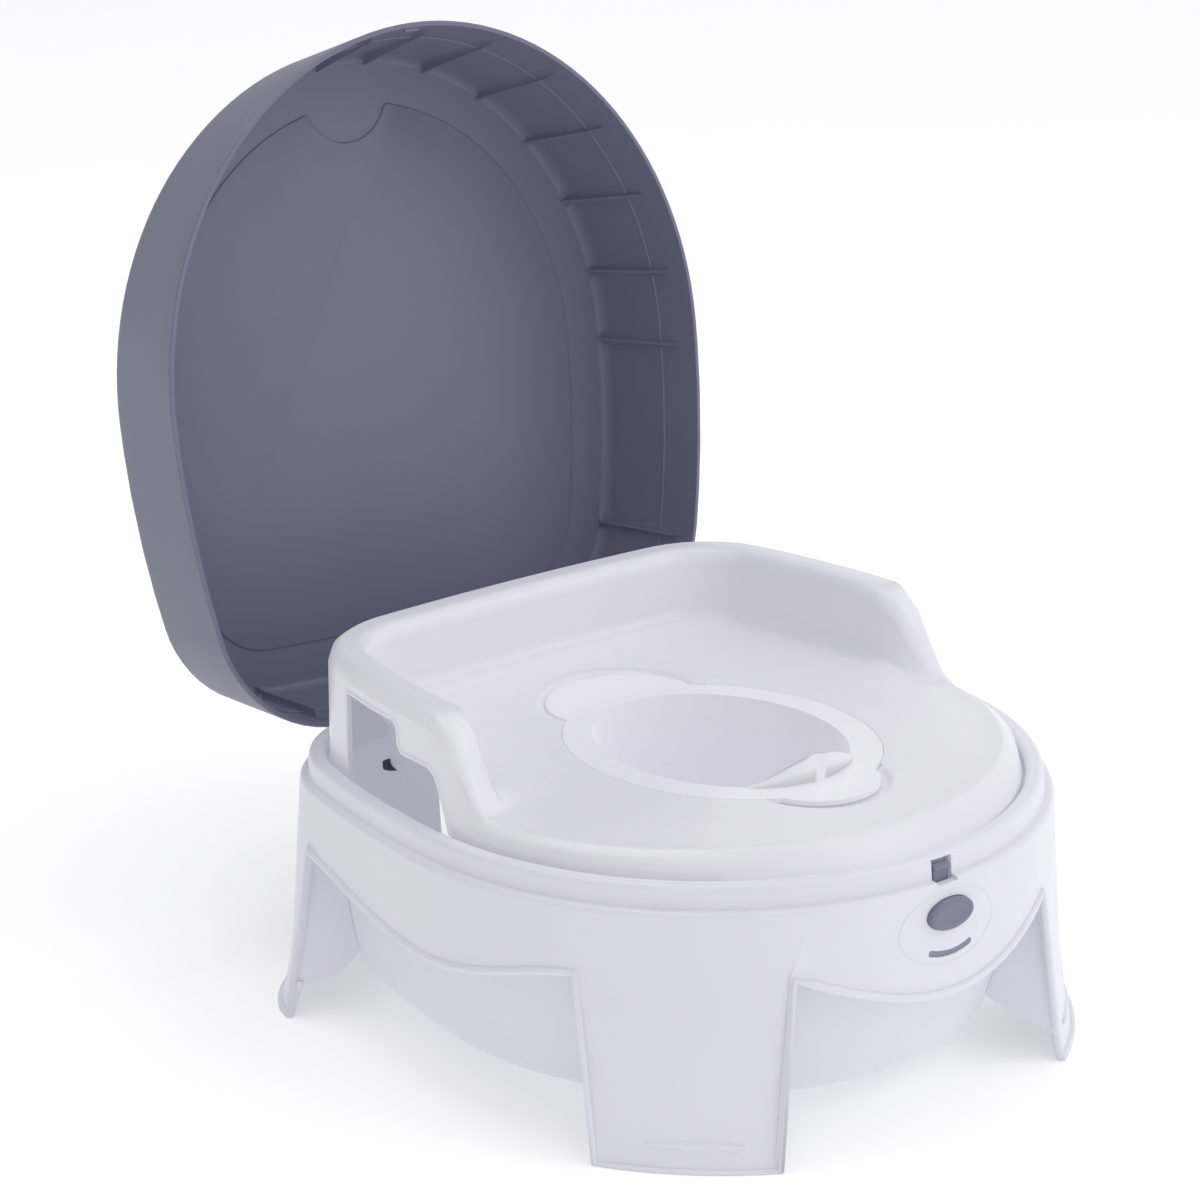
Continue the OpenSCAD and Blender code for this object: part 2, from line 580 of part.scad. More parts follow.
module latch_spring() {
    steps = 14 * spring_turns;
    rings = [for (k = [0:steps]) let (
        t = 360 * k / 14, c = [spring_r * cos(t), spring_r * sin(t)],
        y = mix(spring_y0, spring_y1, k / steps))
        [for (a = [0:60:300]) [(spring_r + wire_r * cos(a)) * cos(t), y + wire_r * sin(a),
            button_z + (spring_r + wire_r * cos(a)) * sin(t)]]];
    color([0.72, 0.72, 0.74]) loft(rings);
}
housing_t = 1.8;
module latch_housing() {
    color([0.47, 0.48, 0.55]) difference() {
        union() {
            translate([-boss_x - 5, latch_back_y, boss_z[0] - 4.5])
                cube([2 * boss_x + 10, housing_t, boss_z[1] - boss_z[0] + 9]);
            for (side = [-1, 1]) translate([side * (slider_half + 0.7) - 0.4, slider_y + 1.4, button_z - 7])
                cube([0.8, latch_back_y - slider_y - 1.3, 14]);
        }
        for (x = [-boss_x, boss_x], z = boss_z) translate([x, latch_back_y + 5, z]) rotate([90, 0, 0])
            cylinder(r = screw_r + 0.2, h = 9);
    }
}
module housing_screws() {
    color([0.70, 0.70, 0.72]) for (x = [-boss_x, boss_x], z = boss_z)
        translate([x, latch_back_y + housing_t, z]) rotate([90, 0, 0]) {
            cylinder(r = screw_r - 0.05, h = housing_t + 6);
            translate([0, 0, -1.1]) cylinder(r = 2.5, h = 1.1);
        }
}
module smile_inlay() {
    plate_y = front_end_y + wall - 0.3;
    color([0.55, 0.55, 0.60]) {
        translate([0, plate_y + 0.1, button_z]) rotate([90, 0, 0]) linear_extrude(3) smile(1.2);
        translate([-15, plate_y, button_z - smile_drop - 2.6]) cube([30, 1.4, 8]);
    }
}

base_shell();
base_tub();
lid_shell();
step_mat();
hinge_pins();
seat_shell();
seat_grips();
pot();
latch_button();
latch_slider();
latch_spring();
latch_housing();
housing_screws();
smile_inlay();
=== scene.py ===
# %% [markdown]
# # A potty training chair
# The real thing is a handful of thin injection mouldings: a white base with splayed legs, a
# white tub inside it, a deep slate lid that doubles as a step, a white seat with a raised wall
# and a lift-out bowl. The CAD model already holds their true shapes, so this lesson takes those
# shapes, gives them smooth moulded surfaces, and adds the small things that a mould leaves behind.

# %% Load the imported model
import json
from math import cos, pi, radians, sin

import bmesh
import bpy
from mathutils import Matrix, Vector

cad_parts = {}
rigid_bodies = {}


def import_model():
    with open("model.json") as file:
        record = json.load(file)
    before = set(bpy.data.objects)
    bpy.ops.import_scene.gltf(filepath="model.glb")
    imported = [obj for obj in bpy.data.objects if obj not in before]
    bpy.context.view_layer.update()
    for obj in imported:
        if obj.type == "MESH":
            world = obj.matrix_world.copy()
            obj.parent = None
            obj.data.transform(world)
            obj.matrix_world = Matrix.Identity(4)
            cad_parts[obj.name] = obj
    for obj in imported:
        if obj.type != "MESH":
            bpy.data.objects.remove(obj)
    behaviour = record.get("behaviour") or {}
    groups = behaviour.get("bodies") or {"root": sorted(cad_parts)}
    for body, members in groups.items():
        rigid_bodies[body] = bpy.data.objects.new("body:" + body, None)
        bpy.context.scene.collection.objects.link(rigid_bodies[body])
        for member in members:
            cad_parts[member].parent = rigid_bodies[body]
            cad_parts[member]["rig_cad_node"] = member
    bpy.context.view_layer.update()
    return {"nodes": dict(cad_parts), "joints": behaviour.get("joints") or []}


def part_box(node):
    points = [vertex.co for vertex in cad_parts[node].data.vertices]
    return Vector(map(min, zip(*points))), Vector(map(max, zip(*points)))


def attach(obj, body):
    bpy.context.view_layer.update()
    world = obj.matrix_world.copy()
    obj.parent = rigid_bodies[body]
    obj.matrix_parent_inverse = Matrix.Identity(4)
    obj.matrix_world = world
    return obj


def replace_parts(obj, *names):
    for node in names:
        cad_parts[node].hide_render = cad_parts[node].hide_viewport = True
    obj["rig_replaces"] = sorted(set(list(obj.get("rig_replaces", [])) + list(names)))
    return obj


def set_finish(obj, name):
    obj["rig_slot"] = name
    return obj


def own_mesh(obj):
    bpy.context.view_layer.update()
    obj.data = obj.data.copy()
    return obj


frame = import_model()

# %% [markdown]
# Most places below come from the imported model's own boxes, and the rest are given.
# Millimetres are easier to think in, and one constant turns them into Blender's metres.

# %% Measure the parts
MM = 0.001
base_low, base_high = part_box("base_shell")
button_low, button_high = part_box("latch_button")
mat_low, mat_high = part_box("step_mat")
joints = {joint["name"]: joint for joint in frame["joints"]}
lid_hinge = joints["lid_hinge"]
hinge_at = Vector(lid_hinge["pos_m"])
lid_angle = radians(-lid_hinge["range_deg"][0])
front_y = base_low.y
before_front = front_y - 30 * MM
button_middle = (button_low + button_high) / 2
print("lid stands open at", round(lid_angle * 180 / pi, 1), "degrees")

# %% [markdown]
# Blender's operators act on everything that is selected, and loading leaves the whole model
# selected. These helpers begin from an empty selection every time, which is the habit that
# prevents most accidents.

# %% Selection helpers
def select_only(piece):
    bpy.ops.object.select_all(action="DESELECT")
    piece.select_set(True)
    bpy.context.view_layer.objects.active = piece


def edit_all(piece):
    select_only(piece)
    bpy.ops.object.mode_set(mode="EDIT")
    bpy.ops.mesh.select_all(action="SELECT")


def leave_edit():
    bpy.ops.object.mode_set(mode="OBJECT")


def settle(piece):
    """Puts the piece's place into its mesh, so that its object sits at the origin."""
    select_only(piece)
    bpy.ops.object.transform_apply(location=True, rotation=True, scale=True)


def apply_modifiers(piece):
    select_only(piece)
    for modifier in list(piece.modifiers):
        bpy.ops.object.modifier_apply(modifier=modifier.name)


def finish_piece(piece, name, material, body, slot, *nodes):
    piece.name = name
    piece.data.materials.clear()
    piece.data.materials.append(material)
    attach(piece, body)
    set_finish(piece, slot)
    if nodes:
        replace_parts(piece, *nodes)
    print(name, len(piece.data.polygons), "faces")
    return piece


# %% [markdown]
# Moulded plastic is never one flat colour. A polished mould still leaves a very fine grain, the
# melt cools unevenly so the gloss drifts by a few percent, and handling scatters faint specks.
# All the plastics here share that effect, so it is one node group, placed in each material with
# its own strengths.

# %% A node group for moulded plastic
def new_group(name, inputs, outputs):
    group = bpy.data.node_groups.new(name, "ShaderNodeTree")
    for label, kind, value in inputs:
        socket = group.interface.new_socket(label, in_out="INPUT", socket_type=kind)
        socket.default_value = value
    for label, kind in outputs:
        group.interface.new_socket(label, in_out="OUTPUT", socket_type=kind)
    return group, group.nodes.new("NodeGroupInput"), group.nodes.new("NodeGroupOutput")


def moulded_group():
    group, given, out = new_group(
        "moulded_plastic",
        [("Colour", "NodeSocketColor", (0.8, 0.8, 0.8, 1)),
         ("Shade", "NodeSocketColor", (0.7, 0.7, 0.7, 1)),
         ("Gloss Drift", "NodeSocketFloat", 0.05),
         ("Roughness", "NodeSocketFloat", 0.3),
         ("Grain Scale", "NodeSocketFloat", 900.0),
         ("Grain", "NodeSocketFloat", 0.2)],
        [("Colour", "NodeSocketColor"), ("Roughness", "NodeSocketFloat"),
         ("Height", "NodeSocketFloat")])
    nodes, links = group.nodes, group.links
    place = nodes.new("ShaderNodeTexCoord")
    flow = nodes.new("ShaderNodeTexNoise")
    flow.inputs["Scale"].default_value = 9
    flow.inputs["Detail"].default_value = 3
    grain = nodes.new("ShaderNodeTexNoise")
    grain.inputs["Detail"].default_value = 2
    blend = nodes.new("ShaderNodeMix")
    blend.data_type = "RGBA"
    ramp = nodes.new("ShaderNodeMapRange")
    ramp.inputs["From Min"].default_value = 0.35
    ramp.inputs["From Max"].default_value = 0.65
    drift = nodes.new("ShaderNodeMath")
    drift.operation = "MULTIPLY"
    rough = nodes.new("ShaderNodeMath")
    rough.operation = "ADD"
    height = nodes.new("ShaderNodeMath")
    height.operation = "MULTIPLY"
    links.new(place.outputs["Object"], flow.inputs["Vector"])
    links.new(place.outputs["Object"], grain.inputs["Vector"])
    links.new(given.outputs["Grain Scale"], grain.inputs["Scale"])
    links.new(flow.outputs["Fac"], ramp.inputs["Value"])
    links.new(ramp.outputs["Result"], blend.inputs["Factor"])
    links.new(given.outputs["Colour"], blend.inputs["A"])
    links.new(given.outputs["Shade"], blend.inputs["B"])
    links.new(ramp.outputs["Result"], drift.inputs[0])
    links.new(given.outputs["Gloss Drift"], drift.inputs[1])
    links.new(drift.outputs[0], rough.inputs[0])
    links.new(given.outputs["Roughness"], rough.inputs[1])
    links.new(grain.outputs["Fac"], height.inputs[0])
    links.new(given.outputs["Grain"], height.inputs[1])
    links.new(blend.outputs["Result"], out.inputs["Colour"])
    links.new(rough.outputs[0], out.inputs["Roughness"])
    links.new(height.outputs[0], out.inputs["Height"])
    return group


moulded = moulded_group()
print("group:", moulded.name)

# %% [markdown]
# Each plastic is then a short recipe: two close colours to drift between, a roughness, and how
# deep the grain is. The faint glow in the plastics is painted light: it lightens their shaded
# insides, strongest in the tub and the bowl, less in the seat, the lid and the base.

# %% Plastics
def plastic(name, colour, shade, rough, drift=0.06, grain=0.25, scale=1400, depth=0.00003,
            glow=0.0, sheen=0.5):
    material = bpy.data.materials.new(name)
    material.use_nodes = True
    nodes, links = material.node_tree.nodes, material.node_tree.links
    shader = nodes["Principled BSDF"]
    shader.inputs["IOR"].default_value = 1.49
    shader.inputs["Specular IOR Level"].default_value = sheen
    # Emission in the surface's own colour: painted light on the plastics; on the floor it keeps the
    # floor evenly white.
    shader.inputs["Emission Color"].default_value = (*colour, 1)
    shader.inputs["Emission Strength"].default_value = glow
    effect = nodes.new("ShaderNodeGroup")
    effect.node_tree = moulded
    effect.inputs["Colour"].default_value = (*colour, 1)
    effect.inputs["Shade"].default_value = (*shade, 1)
    effect.inputs["Roughness"].default_value = rough
    effect.inputs["Gloss Drift"].default_value = drift
    effect.inputs["Grain"].default_value = grain
    effect.inputs["Grain Scale"].default_value = scale
    bump = nodes.new("ShaderNodeBump")
    bump.inputs["Distance"].default_value = depth
    links.new(effect.outputs["Colour"], shader.inputs["Base Color"])
    links.new(effect.outputs["Roughness"], shader.inputs["Roughness"])
    links.new(effect.outputs["Height"], bump.inputs["Height"])
    links.new(bump.outputs["Normal"], shader.inputs["Normal"])
    return material


# The tub, seat and bowl whites are copies of the base white, each darkened and given its own glow
# to paint the light and shade where it sits.
white = plastic("white_polypropylene", (0.645, 0.64, 0.70), (0.625, 0.62, 0.68), 0.34, glow=0.15)
tub_white = plastic("tub_white", (0.52, 0.52, 0.57), (0.505, 0.505, 0.555), 0.36, glow=0.38)
seat_white = plastic("seat_white", (0.60, 0.595, 0.645), (0.585, 0.58, 0.63), 0.28, glow=0.24)
bowl_white = plastic("bowl_white", (0.60, 0.595, 0.64), (0.585, 0.58, 0.625), 0.24, glow=0.34)
slate = plastic("slate_polypropylene", (0.138, 0.143, 0.203), (0.128, 0.133, 0.19), 0.46,
                glow=0.14)
button_grey = plastic("button_grey", (0.185, 0.19, 0.255), (0.172, 0.177, 0.24), 0.38)
hook_grey = plastic("hook_grey", (0.205, 0.205, 0.275), (0.19, 0.19, 0.26), 0.42)
smile_grey = plastic("smile_grey", (0.235, 0.24, 0.31), (0.22, 0.225, 0.295), 0.4)
rubber = plastic("mat_rubber", (0.075, 0.08, 0.115), (0.06, 0.064, 0.095), 0.62, drift=0.12,
                 grain=0.8, scale=800, depth=0.0001, sheen=0.3)
print("plastics:", len(bpy.data.materials))


# %% [markdown]
# Steel is metallic all over, so its metalness is set on the shader. Only its roughness changes,
# with a stretched noise that stands for the drawing lines left on wire and pins.

# %% Steel
def steel(name, colour, rough):
    material = bpy.data.materials.new(name)
    material.use_nodes = True
    nodes, links = material.node_tree.nodes, material.node_tree.links
    shader = nodes["Principled BSDF"]
    shader.inputs["Metallic"].default_value = 1
    place = nodes.new("ShaderNodeTexCoord")
    stretch = nodes.new("ShaderNodeMapping")
    stretch.inputs["Scale"].default_value = (20, 400, 400)
    lines = nodes.new("ShaderNodeTexNoise")
    lines.inputs["Scale"].default_value = 4
    span = nodes.new("ShaderNodeMapRange")
    span.inputs["To Min"].default_value = rough * 0.7
    span.inputs["To Max"].default_value = rough * 1.4
    tone = nodes.new("ShaderNodeMix")
    tone.data_type = "RGBA"
    tone.inputs["A"].default_value = (*colour, 1)
    tone.inputs["B"].default_value = (*[c * 0.8 for c in colour], 1)
    links.new(place.outputs["Object"], stretch.inputs["Vector"])
    links.new(stretch.outputs["Vector"], lines.inputs["Vector"])
    links.new(lines.outputs["Fac"], span.inputs["Value"])
    links.new(lines.outputs["Fac"], tone.inputs["Factor"])
    links.new(span.outputs["Result"], shader.inputs["Roughness"])
    links.new(tone.outputs["Result"], shader.inputs["Base Color"])
    return material


pin_steel = steel("drawn_steel", (0.62, 0.62, 0.64), 0.3)
wire_steel = steel("spring_wire", (0.55, 0.55, 0.58), 0.25)
print("metals:", pin_steel.name, "and", wire_steel.name)

# %% [markdown]
# The big mouldings keep the CAD model's exact shape. Its meshes are loose triangles with flat
# shading, so each is copied, its doubled corners are merged, its flat areas are dissolved into
# single faces, and smooth shading is switched on wherever two faces meet at a gentle angle. The
# Weighted Normal modifier then lets the large faces decide the shading, so that long thin
# triangles leave no streaks. The parts that are reshaped further on start from the same clean copy.

# %% Smooth copies of the mouldings
SAME_CORNER = 0.02 * MM
FLAT_WITHIN = radians(0.4)


def copy_of(node):
    """A clean copy of a CAD node that can be worked on, while the node itself stays as it is."""
    select_only(frame["nodes"][node])
    bpy.ops.object.duplicate()
    piece = bpy.context.object
    del piece["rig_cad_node"]
    edit_all(piece)
    bpy.ops.mesh.remove_doubles(threshold=SAME_CORNER)
    bpy.ops.mesh.dissolve_limited(angle_limit=FLAT_WITHIN)
    leave_edit()
    return piece


def smooth_copy(node, name, material, body, slot):
    piece = copy_of(node)
    bpy.ops.object.shade_smooth_by_angle(angle=radians(38))
    weigh = piece.modifiers.new("even_shading", "WEIGHTED_NORMAL")
    weigh.keep_sharp = True
    weigh.weight = 60
    apply_modifiers(piece)
    return finish_piece(piece, name, material, body, slot, node)


base_skin = smooth_copy("base_shell", "base_skin", white, "base", "white_plastic")
smooth_copy("base_tub", "tub_skin", tub_white, "base", "white_plastic")
lid_skin = smooth_copy("lid_shell", "lid_skin", slate, "lid", "slate_plastic")
seat_skin = smooth_copy("seat_shell", "seat_skin", seat_white, "seat", "white_plastic")
smooth_copy("pot", "pot_skin", bowl_white, "pot", "pot_plastic")

# %% [markdown]
# The skirt and the legs of the base end in a rolled bead, which stiffens the thin edge and is
# kind to small toes. It follows the lower edge all the way round, up one side of each leg and
# down the other. The edge is already in the moulding, so its sharp corner is picked out by the
# way its two faces point, lifted off as a line of edges, turned into a curve and given a round
# section. The openings for the latch in the front have corners like it, which are left out. Under
# the feet the bead is cut off flat, so that the chair stands on its soles.

# %% The rolled bead
SKIRT_TOP = 100 * MM
LATCH_HALF_WIDTH = 20 * MM
LATCH_BOTTOM = 80 * MM
BEAD_RADIUS = 2.0 * MM
SOLE_CUT = 0.2 * MM


def middle_of(edge):
    return (edge.verts[0].co + edge.verts[1].co) / 2


def corner_of_skirt(edge):
    middle = middle_of(edge)
    if len(edge.link_faces) != 2 or middle.z > SKIRT_TOP:
        return False
    if abs(middle.x) < LATCH_HALF_WIDTH and middle.y < 0 and middle.z > LATCH_BOTTOM:
        return False
    outward = Vector((middle.x, middle.y, 0)).normalized()
    inner_lean, outer_lean = sorted(face.normal.dot(outward) for face in edge.link_faces)
    return outer_lean > 0.6 and abs(inner_lean) < 0.55


def close_ends(tube):
    edit_all(tube)
    bpy.ops.mesh.remove_doubles(threshold=0.01 * MM)
    bpy.ops.mesh.normals_make_consistent(inside=False)
    leave_edit()
    bpy.ops.object.shade_smooth_by_angle(angle=radians(50))


def edge_bead(source, radius, picks):
    """A round bead along the source's edges that picks() says yes to."""
    select_only(source)
    bpy.ops.object.duplicate()
    piece = bpy.context.object
    edit_all(piece)
    bpy.ops.mesh.select_all(action="DESELECT")
    mesh = bmesh.from_edit_mesh(piece.data)
    spare = [edge for edge in mesh.edges if not picks(edge)]
    bmesh.ops.delete(mesh, geom=list(mesh.faces), context="FACES_ONLY")
    bmesh.ops.delete(mesh, geom=spare, context="EDGES")
    bmesh.update_edit_mesh(piece.data)
    leave_edit()
    bpy.ops.object.convert(target="CURVE")
    piece = bpy.context.object
    piece.data.bevel_depth = radius
    piece.data.bevel_resolution = 3
    piece.data.use_fill_caps = True
    bpy.ops.object.convert(target="MESH")
    piece = bpy.context.object
    close_ends(piece)
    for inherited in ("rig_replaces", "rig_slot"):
        if inherited in piece:
            del piece[inherited]
    return piece


skirt_bead = edge_bead(base_skin, BEAD_RADIUS, corner_of_skirt)
edit_all(skirt_bead)
bpy.ops.mesh.bisect(plane_co=(0, 0, SOLE_CUT), plane_no=(0, 0, -1), use_fill=True,
                    clear_outer=True)
leave_edit()
finish_piece(skirt_bead, "skirt_bead", white, "base", "white_plastic")

# %% [markdown]
# The hand openings in the seat's wall are framed by the same kind of bead, a thinner one. Here
# the edge to follow is where the wall's outer face meets the cut.

# %% Beads round the hand openings
WALL_STARTS = 128 * MM
OPENING_REAR = 100 * MM
OPENING_TOP = 177 * MM
SHORTEST_EDGE = 0.2 * MM


def corner_of_opening(edge):
    middle = middle_of(edge)
    if len(edge.link_faces) != 2 or abs(middle.x) < WALL_STARTS or middle.z < base_high.z:
        return False
    if middle.y > OPENING_REAR or middle.z > OPENING_TOP or edge.calc_length() < SHORTEST_EDGE:
        return False
    sideways = sorted(abs(face.normal.x) for face in edge.link_faces)
    outward = max(face.normal.x * (1 if middle.x > 0 else -1) for face in edge.link_faces)
    return sideways[0] < 0.2 and outward > 0.75


opening_bead = edge_bead(seat_skin, BEAD_RADIUS / 2, corner_of_opening)
finish_piece(opening_bead, "opening_bead", seat_white, "seat", "white_plastic")

# %% [markdown]
# Inside the lid, a faint rib runs round the skirt where its upper half thickens. The lid is
# drawn open, so each point is first swung shut about the hinge, where heights are easy to read.

# %% The rib inside the lid's skirt
swing_shut = (Matrix.Translation(hinge_at) @ Matrix.Rotation(lid_angle, 4, "X")
              @ Matrix.Translation(-hinge_at))
lid_out = Vector((0, sin(lid_angle), cos(lid_angle)))
rib_height = base_high.z + 14.6 * MM
LEVEL_WITHIN = 0.25 * MM
SHORTEST_LINE = 2.5 * MM


def line_in_skirt(edge):
    ends = [swing_shut @ vert.co for vert in edge.verts]
    level = all(abs(end.z - rib_height) < LEVEL_WITHIN for end in ends)
    return level and (ends[0] - ends[1]).length > SHORTEST_LINE


skirt_rib = edge_bead(lid_skin, 0.75 * MM, line_in_skirt)
finish_piece(skirt_rib, "skirt_rib", slate, "lid", "slate_plastic")

# %% [markdown]
# The recess that holds the step mat is pressed into the lid from outside, so the same outline
# stands a little proud inside. A copy of the mat is sunk through the lid's wall until its face
# is 0.9 mm proud, the two corners of the notch are rounded, and its edge is bevelled.

# %% The raised panel inside the lid
NOTCH_REACH = 90 * MM
NOTCH_ROUNDING = 9 * MM
PANEL_SINK = 2.7 * MM


def select_edges(piece, picks):
    edit_all(piece)
    bpy.ops.mesh.select_all(action="DESELECT")
    mesh = bmesh.from_edit_mesh(piece.data)
    mesh.select_mode = {"EDGE"}
    chosen = 0
    for edge in mesh.edges:
        if picks(edge):
            edge.select = True
            chosen += 1
    mesh.select_flush_mode()
    bmesh.update_edit_mesh(piece.data)
    return chosen


def runs_through(edge):
    return abs((edge.verts[0].co - edge.verts[1].co).normalized().dot(lid_out)) > 0.99


def notch_corner(edge):
    return (runs_through(edge) and edge.calc_face_angle(0) > radians(35)
            and (swing_shut @ edge.verts[0].co).y < front_y + NOTCH_REACH)


def facing(edge, sign):
    return max(sign * face.normal.dot(lid_out) for face in edge.link_faces) > 0.9


def panel_rim(edge):
    return not runs_through(edge) and facing(edge, -1)


lid_panel = copy_of("step_mat")
corners = select_edges(lid_panel, notch_corner)
bpy.ops.mesh.bevel(offset=NOTCH_ROUNDING, segments=6, affect="EDGES")
leave_edit()
select_edges(lid_panel, panel_rim)
bpy.ops.mesh.bevel(offset=0.8 * MM, segments=3, affect="EDGES")
bpy.ops.mesh.select_all(action="SELECT")
bpy.ops.transform.translate(value=lid_out * -PANEL_SINK)
leave_edit()
bpy.ops.object.shade_smooth_by_angle(angle=radians(40))
print("notch corners rounded:", corners)
finish_piece(lid_panel, "lid_panel", slate, "lid", "slate_plastic")

# %% [markdown]
# On its outer side the mat has tread: bars across the step, 5.5 mm wide at their foot. The mat's
# face is cut into strips by parallel planes, and every other strip is inset and pushed out.

# %% The step mat with its tread
step_pad = copy_of("step_mat")
along = (swing_shut.inverted().to_3x3() @ Vector((0, 1, 0))).normalized()
pitch = 5.5 * MM
bar_edge = 0.9 * MM
bar_height = 0.6 * MM
mat_centre = (mat_low + mat_high) / 2
cuts = int((mat_high - mat_low).length / pitch)
edit_all(step_pad)
for k in range(-cuts // 2, cuts // 2 + 1):
    bpy.ops.mesh.select_all(action="SELECT")
    bpy.ops.mesh.bisect(plane_co=mat_centre + along * (k * pitch), plane_no=along)
mesh = bmesh.from_edit_mesh(step_pad.data)
bpy.ops.mesh.select_all(action="DESELECT")
mesh.select_mode = {"FACE"}
for face in mesh.faces:
    strip = int(((face.calc_center_median() - mat_centre).dot(along)) // pitch)
    face.select = face.normal.dot(lid_out) > 0.95 and strip % 2 == 0
mesh.select_flush_mode()
bmesh.update_edit_mesh(step_pad.data)
bpy.ops.mesh.inset(thickness=bar_edge, use_boundary=True, use_individual=True)
bpy.ops.transform.translate(value=lid_out * bar_height)
leave_edit()
finish_piece(step_pad, "step_pad", rubber, "lid", "mat_rubber", "step_mat")

# %% [markdown]
# The button is a short oval bar. Its front is inset four times: twice outwards for a rounded edge,
# once flat, and once inwards for the shallow dish that a thumb finds. The hook with its slider, and
# the housing behind them, only need their edges taken off.

# %% The button and the hook
button_size = button_high - button_low
bpy.ops.mesh.primitive_cylinder_add(vertices=64, radius=0.5, depth=1, location=button_middle,
                                    rotation=(pi / 2, 0, 0))
button = bpy.context.object
chamfer = 1.1 * MM
button.scale = (button_size.x, button_size.z, button_size.y - chamfer)
settle(button)
edit_all(button)
bpy.ops.transform.translate(value=(0, chamfer / 2, 0))
mesh = bmesh.from_edit_mesh(button.data)
bpy.ops.mesh.select_all(action="DESELECT")
mesh.select_mode = {"FACE"}
for face in mesh.faces:
    face.select = face.normal.y < -0.9
mesh.select_flush_mode()
bmesh.update_edit_mesh(button.data)
bpy.ops.mesh.inset(thickness=0.5 * MM, depth=0.6 * MM)
bpy.ops.mesh.inset(thickness=1.7 * MM, depth=0.5 * MM)
bpy.ops.mesh.inset(thickness=0.5 * MM)
bpy.ops.mesh.inset(thickness=1.6 * MM, depth=-0.5 * MM)
leave_edit()
bpy.ops.object.shade_smooth_by_angle(angle=radians(25))
finish_piece(button, "button", button_grey, "latch", "grey_plastic", "latch_button")


def eased_copy(node, name, material, body, slot, width):
    piece = copy_of(node)
    ease = piece.modifiers.new("eased_edges", "BEVEL")
    ease.width = width
    ease.segments = 2
    ease.limit_method = "ANGLE"
    ease.angle_limit = radians(40)
    apply_modifiers(piece)
    bpy.ops.object.shade_smooth_by_angle(angle=radians(35))
    return finish_piece(piece, name, material, body, slot, node)


eased_copy("latch_slider", "slider_and_hook", hook_grey, "latch", "grey_plastic", 0.25 * MM)
eased_copy("latch_housing", "spring_housing", hook_grey, "base", "grey_plastic", 0.2 * MM)

# %% [markdown]
# The coil behind the button is squeezed as the button is pressed. Its copy is only shaded smooth
# and given its steel; its rear end rests against the housing.

# %% The spring
spring = copy_of("latch_spring")
bpy.ops.object.shade_smooth_by_angle(angle=radians(75))
finish_piece(spring, "spring", wire_steel, "base", "spring_steel", "latch_spring")
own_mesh(spring)

# %% [markdown]
# The button and the smile sit in a shallow oval whose edge shows as a soft line on the curved
# front. The line is laid on the moulding itself: each point of the oval is dropped onto the skirt
# from the front, and a thin round section follows the points.

# %% The oval round the button
def drop_on(piece, x, z):
    """Where a straight line from the front first meets the piece, and which way it faces there."""
    _, place, normal, _ = piece.ray_cast(Vector((x, before_front, z)), Vector((0, 1, 0)))
    return place, normal


def laid_loop(piece, name, points, radius, sink, material, body, slot):
    places = []
    for x, z in points:
        place, normal = drop_on(piece, x, z)
        places.append(place - normal * sink)
    bpy.ops.curve.primitive_bezier_circle_add()
    line = bpy.context.object
    data = line.data
    data.splines.clear()
    spline = data.splines.new("POLY")
    spline.points.add(len(places) - 1)
    for point, place in zip(spline.points, places):
        point.co = (*place, 1)
    spline.use_cyclic_u = True
    data.dimensions = "3D"
    data.bevel_depth = radius
    data.bevel_resolution = 3
    select_only(line)
    bpy.ops.object.convert(target="MESH")
    line = bpy.context.object
    close_ends(line)
    return finish_piece(line, name, material, body, slot)


OVAL_HALF_WIDTH = 28 * MM
OVAL_HALF_HEIGHT = 17.5 * MM
OVAL_POINTS = 72
oval_middle = button_middle.z - 6 * MM
turns = [2 * pi * k / OVAL_POINTS for k in range(OVAL_POINTS)]
oval = [(OVAL_HALF_WIDTH * cos(turn), oval_middle + OVAL_HALF_HEIGHT * sin(turn))
        for turn in turns]
laid_loop(base_skin, "oval_edge", oval, 0.8 * MM, 0.45 * MM, white, "base", "white_plastic")

# %% [markdown]
# Low on each front leg the mould leaves a small lens-shaped swelling, where the toe is thickened.
# A sphere is flattened to a lens, turned to face the way the leg faces, and sunk until only its
# crown stands out of the leg.

# %% The swellings on the toes
LENS_WIDTH = 46 * MM
LENS_DEPTH = 5 * MM
LENS_HEIGHT = 4.5 * MM
LENS_PROUD = 1.3 * MM
TOE_OUT = 116 * MM
TOE_UP = 12 * MM


def toe_swelling(name, x, z):
    place, normal = drop_on(base_skin, x, z)
    bpy.ops.mesh.primitive_uv_sphere_add(segments=48, ring_count=24, radius=0.5)
    piece = bpy.context.object
    piece.scale = (LENS_WIDTH, LENS_DEPTH, LENS_HEIGHT)
    settle(piece)
    heading = Vector((normal.x, normal.y, 0)).normalized()
    turn = Matrix.Rotation(-Vector((0, -1)).angle_signed(heading.xy), 4, "Z")
    sunk = place - heading * (LENS_DEPTH / 2 - LENS_PROUD)
    piece.matrix_world = Matrix.Translation(sunk) @ turn
    settle(piece)
    bpy.ops.object.shade_smooth()
    return finish_piece(piece, name, white, "base", "white_plastic")


for side_name, sign in (("left", -1), ("right", 1)):
    toe_swelling("toe_swelling_" + side_name, sign * TOE_OUT, TOE_UP)

# %% [markdown]
# The small parts that are left keep their CAD shape and only need their finish.

# %% Finishes for the plain parts
plain = {"hinge_pins": pin_steel, "housing_screws": wire_steel, "seat_grips": rubber,
         "smile_inlay": smile_grey}
for node, material in plain.items():
    slots = frame["nodes"][node].data.materials
    slots.clear()
    slots.append(material)
print("plain parts:", ", ".join(plain))

# %% [markdown]
# The chair stands on a plain pale floor that runs far enough back to vanish. Most of the light is
# the pale world, brighter in front and to the right than behind and to the left, as beside a wide
# window; two soft lamps add the highlights.

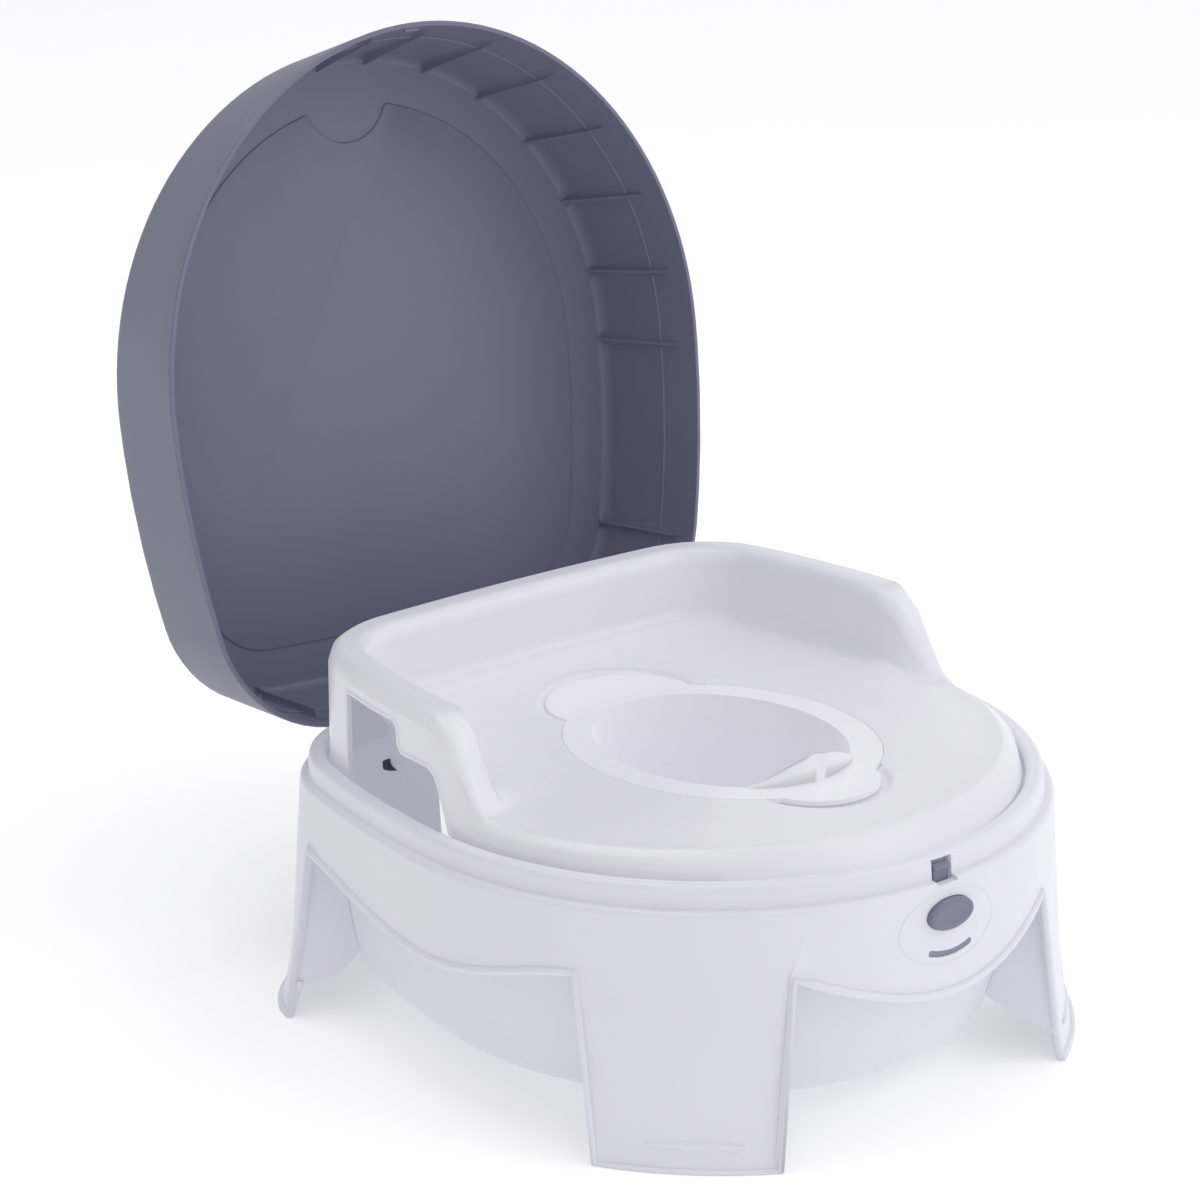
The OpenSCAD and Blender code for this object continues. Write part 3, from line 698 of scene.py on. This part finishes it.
# %% Floor, light and camera
bpy.ops.mesh.primitive_plane_add(size=30, location=(0, 0, 0))
floor = bpy.context.object
floor.name = "floor"
floor.data.materials.append(plastic("floor_paint", (0.95, 0.95, 0.95), (0.945, 0.945, 0.945), 0.8,
                                    grain=0.05, scale=60, depth=0.0001, glow=0.22, sheen=0.1))


def soft_lamp(name, place, aim, size, watts):
    bpy.ops.object.light_add(type="AREA", location=place)
    lamp = bpy.context.object
    lamp.name = name
    lamp.data.size = size
    lamp.data.energy = watts
    lamp.rotation_euler = (Vector(aim) - Vector(place)).to_track_quat("-Z", "Y").to_euler()


soft_lamp("key_lamp", (1.1, -1.3, 1.9), (0, 0, 0.15), 1.1, 5)
soft_lamp("top_lamp", (-0.5, 0.5, 2.2), (0, 0, 0.1), 1.4, 9)
world = bpy.data.worlds.new("studio")
bpy.context.scene.world = world
world.use_nodes = True
sky = world.node_tree
shine = sky.nodes["Background"]
shine.inputs["Color"].default_value = (0.98, 0.98, 1, 1)
way = sky.nodes.new("ShaderNodeTexCoord")
lean = sky.nodes.new("ShaderNodeVectorMath")
lean.operation = "DOT_PRODUCT"
lean.inputs[1].default_value = (0.72, -0.62, 0.31)
span = sky.nodes.new("ShaderNodeMapRange")
span.inputs["From Min"].default_value = -1
span.inputs["To Min"].default_value = 0.28
span.inputs["To Max"].default_value = 1.14
sky.links.new(way.outputs["Generated"], lean.inputs[0])
sky.links.new(lean.outputs["Value"], span.inputs["Value"])
sky.links.new(span.outputs["Result"], shine.inputs["Strength"])

azimuth, elevation, roll = radians(-36.17), radians(17.72), radians(-2.27)
back = Vector((sin(azimuth) * cos(elevation), -cos(azimuth) * cos(elevation), sin(elevation)))
side = Vector((cos(azimuth), sin(azimuth), 0))
rise = back.cross(side)
right = side * cos(roll) + rise * sin(roll)
up = rise * cos(roll) - side * sin(roll)
bpy.ops.object.camera_add()
camera = bpy.context.object
stands_at = Vector((-0.9494, -1.2212, 0.7088))
facing_chair = Matrix((right, up, back)).transposed().to_4x4()
camera.matrix_world = Matrix.Translation(stands_at) @ facing_chair
camera.data.lens = 101.1
camera.data.sensor_width = 36
bpy.context.scene.camera = camera
bpy.context.scene.view_settings.view_transform = "Standard"
print("camera stands", round(stands_at.length, 2), "m from the chair's middle")
